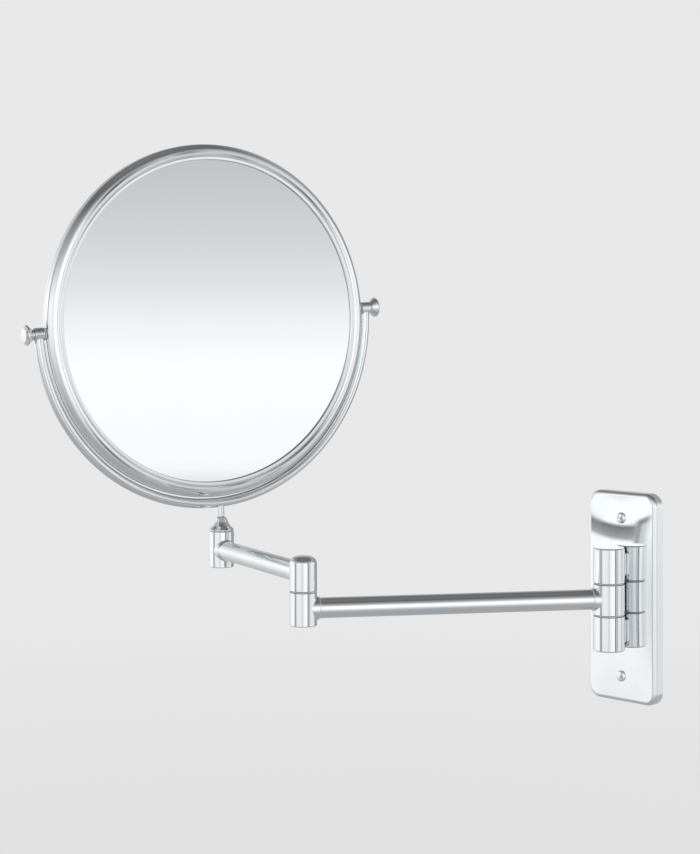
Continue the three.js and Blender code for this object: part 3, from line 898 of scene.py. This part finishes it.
def floor():
    """A pale disc under the object that fades out before its edge."""
    centre = (CAD_BOX[0] + CAD_BOX[1]) / 2
    height = CAD_BOX[0].z - FLOOR_DROP
    data = bpy.data.meshes.new("floor")
    angles = [2 * math.pi * i / FLOOR_SIDES for i in range(FLOOR_SIDES)]
    corners = [(FLOOR_RADIUS * math.cos(a), FLOOR_RADIUS * math.sin(a), 0) for a in angles]
    data.from_pydata(corners, [], [tuple(range(FLOOR_SIDES))])
    disc = bpy.data.objects.new("floor", data)
    disc.location = (centre.x, centre.y, height)
    bpy.context.scene.collection.objects.link(disc)
    material, tree, shader, at = finish_nodes("floor", 0, (0.86, 0.86, 0.86), 0.7)
    clear = tree.nodes.new("ShaderNodeBsdfTransparent")
    even = tree.nodes.new("ShaderNodeEmission")
    even.inputs["Color"].default_value = (*BACKDROP, 1)
    seen = tree.nodes.new("ShaderNodeMath")
    seen.operation = "MULTIPLY"
    seen.inputs[1].default_value = FLOOR_EVENNESS
    tree.links.new(tree.nodes.new("ShaderNodeLightPath").outputs["Is Camera Ray"], seen.inputs[0])
    plain = tree.nodes.new("ShaderNodeMixShader")
    tree.links.new(seen.outputs[0], plain.inputs[0])
    tree.links.new(shader.outputs[0], plain.inputs[1])
    tree.links.new(even.outputs[0], plain.inputs[2])
    blend = tree.nodes.new("ShaderNodeMixShader")
    length = tree.nodes.new("ShaderNodeVectorMath")
    length.operation = "LENGTH"
    tree.links.new(at, length.inputs[0])
    fade = spread(tree, length.outputs["Value"], 0, 1, *FLOOR_FADE)
    tree.links.new(fade, blend.inputs[0])
    tree.links.new(plain.outputs[0], blend.inputs[1])
    tree.links.new(clear.outputs[0], blend.inputs[2])
    tree.links.new(blend.outputs[0], tree.nodes["Material Output"].inputs["Surface"])
    data.materials.append(material)
    disc.visible_glossy = False


floor()


def lamp(name, place, target, size, power):
    """A soft box that lights the dull surfaces and isn't seen in the chrome. Metres and watts."""
    data = bpy.data.lights.new(name, "AREA")
    data.shape = "RECTANGLE"
    data.size, data.size_y = size
    data.energy = power
    light = bpy.data.objects.new(name, data)
    light.location = place
    light.visible_glossy = False
    light.rotation_euler = (Vector(target) - Vector(place)).to_track_quat("-Z", "Y").to_euler()
    bpy.context.scene.collection.objects.link(light)


lamp("overhead", (0.1, -0.3, 1.5), (-0.1, -0.1, 0.05), (1.4, 1.4), 5)
lamp("front", (1.5, -0.6, 0.9), (-0.1, -0.1, 0.1), (0.8, 1.0), 4)


def ramped(tree, value, low, high, stops):
    """The grey for a value from low to high, straight between (value, grey) stops in rising order.

    The curve holds half of each grey, because its own range ends at 1."""
    curve = tree.nodes.new("ShaderNodeFloatCurve")
    line = curve.mapping.curves[0]
    scaled = [((v - low) / (high - low), grey / 2) for v, grey in stops]
    while len(line.points) < len(scaled):
        line.points.new(0.5, 0.5)
    for point, (at, grey) in zip(line.points, scaled):
        point.location = (at, grey)
        point.handle_type = "VECTOR"
    curve.mapping.update()
    share = tree.nodes.new("ShaderNodeMapRange")
    share.inputs["From Min"].default_value = low
    share.inputs["From Max"].default_value = high
    tree.links.new(value, share.inputs["Value"])
    tree.links.new(share.outputs["Result"], curve.inputs["Value"])
    return calculated(tree, "MULTIPLY", curve.outputs[0], 2)


def calculated(tree, operation, first, second):
    """The result of a sum on two values, each a number or a socket."""
    node = tree.nodes.new("ShaderNodeMath")
    node.operation = operation
    for socket, value in zip(node.inputs, (first, second)):
        if isinstance(value, (int, float)):
            socket.default_value = value
        else:
            tree.links.new(value, socket)
    return node.outputs[0]


def blended(tree, share, first, second):
    """first where share is 0 and second where it is 1, each a number or a socket."""
    node = tree.nodes.new("ShaderNodeMix")
    for key, value in [("Factor", share), ("A", first), ("B", second)]:
        if isinstance(value, (int, float)):
            node.inputs[key].default_value = value
        else:
            tree.links.new(value, node.inputs[key])
    return node.outputs[0]


# What the chrome reflects, as (place, grey) stops. Heights are sines of the angle above eye level, and turns
# are degrees round from +X towards +Y.
CEILING = [
    (-1, 0.42), (-0.7, 0.45), (-0.35, 0.68), (-0.1, 0.95), (0.1, 1.05),
    (0.3, 0.8), (0.5, 0.5), (0.7, 0.3), (0.85, 0.14), (1, 0.2),
]
# Dark near -110, from 66 to 110, and at -3 and 11 degrees, with the grey climbing to 1.1 between those two
WALLS = [
    (-180, 1.05), (-150, 1.25), (-124, 1.25), (-114, 0.4), (-107, 0.45), (-97, 1.1), (-64, 1.1), (-50, 0.85),
    (-34, 1.25), (-9, 1.3), (-3, 0.05), (10, 1.1), (11, 0.05), (17, 1.0), (50, 1.1), (66, 0.4), (110, 0.4),
    (150, 0.7), (180, 1.1),
]
# What the glass shows at rest, by height
OPPOSITE = [
    (-0.5, 0.8), (-0.12, 0.66), (-0.098, 0.74), (-0.085, 1.0), (-0.035, 1.06), (-0.012, 0.94),
    (0.005, 0.82), (0.03, 0.7), (0.07, 0.58), (0.2, 0.58), (0.5, 0.7),
]
# Shares from 0 to 1: where the walls count, and the turns and heights of the glass's view and of a dark flag
WALL_LEVEL = [(-1, 0), (-0.6, 0), (-0.3, 1), (0.35, 1), (0.6, 0), (1, 0)]
VIEW_TURNS = [(-180, 0), (4, 0), (7, 1), (20, 1), (26, 0), (180, 0)]
VIEW_HEIGHTS = [(-1, 0), (-0.14, 0), (-0.12, 1), (0.1, 1), (0.14, 0), (1, 0)]
FLAG_TURNS = [(-180, 0), (-160, 0), (-145, 1), (-122, 1), (-118, 0), (180, 0)]
FLAG_HEIGHTS = [(-1, 0), (-0.06, 0), (-0.045, 0.75), (-0.02, 0.65), (0.005, 0), (1, 0)]
FLAG_GREY = 0.1
COOLER_GREEN = 1.01
COOLER_BLUE = 1.025


def studio():
    """A pale studio, brightest near eye level, with dark stretches between bright walls.

    The camera itself sees an even backdrop."""
    world = bpy.data.worlds.new("studio")
    bpy.context.scene.world = world
    world.use_nodes = True
    tree = world.node_tree
    back = tree.nodes["Background"]
    coordinates = tree.nodes.new("ShaderNodeTexCoord")
    parts = tree.nodes.new("ShaderNodeSeparateXYZ")
    tree.links.new(coordinates.outputs["Generated"], parts.inputs[0])
    height = parts.outputs["Z"]
    radians = calculated(tree, "ARCTAN2", parts.outputs["Y"], parts.outputs["X"])
    turn = calculated(tree, "MULTIPLY", radians, 180 / math.pi)
    overall = ramped(tree, height, -1, 1, CEILING)
    around = ramped(tree, turn, -180, 180, WALLS)
    opposite = ramped(tree, height, -0.5, 0.5, OPPOSITE)
    level = ramped(tree, height, -1, 1, WALL_LEVEL)
    beside = ramped(tree, turn, -180, 180, VIEW_TURNS)
    beyond = ramped(tree, height, -1, 1, VIEW_HEIGHTS)
    window = calculated(tree, "MULTIPLY", beside, beyond)
    banded = blended(tree, level, overall, calculated(tree, "MULTIPLY", overall, around))
    flag_beside = ramped(tree, turn, -180, 180, FLAG_TURNS)
    flag_beyond = ramped(tree, height, -1, 1, FLAG_HEIGHTS)
    flag = calculated(tree, "MULTIPLY", flag_beside, flag_beyond)
    grey = blended(tree, window, blended(tree, flag, banded, FLAG_GREY), opposite)
    cool = tree.nodes.new("ShaderNodeCombineColor")
    tree.links.new(grey, cool.inputs[0])
    tree.links.new(calculated(tree, "MULTIPLY", grey, COOLER_GREEN), cool.inputs[1])
    tree.links.new(calculated(tree, "MULTIPLY", grey, COOLER_BLUE), cool.inputs[2])
    mix = tree.nodes.new("ShaderNodeMix")
    mix.data_type = "RGBA"
    mix.inputs["B"].default_value = (*BACKDROP, 1)
    path = tree.nodes.new("ShaderNodeLightPath")
    tree.links.new(path.outputs["Is Camera Ray"], mix.inputs["Factor"])
    tree.links.new(cool.outputs[0], mix.inputs["A"])
    tree.links.new(mix.outputs["Result"], back.inputs["Color"])


studio()
bpy.context.scene.view_settings.view_transform = "Standard"
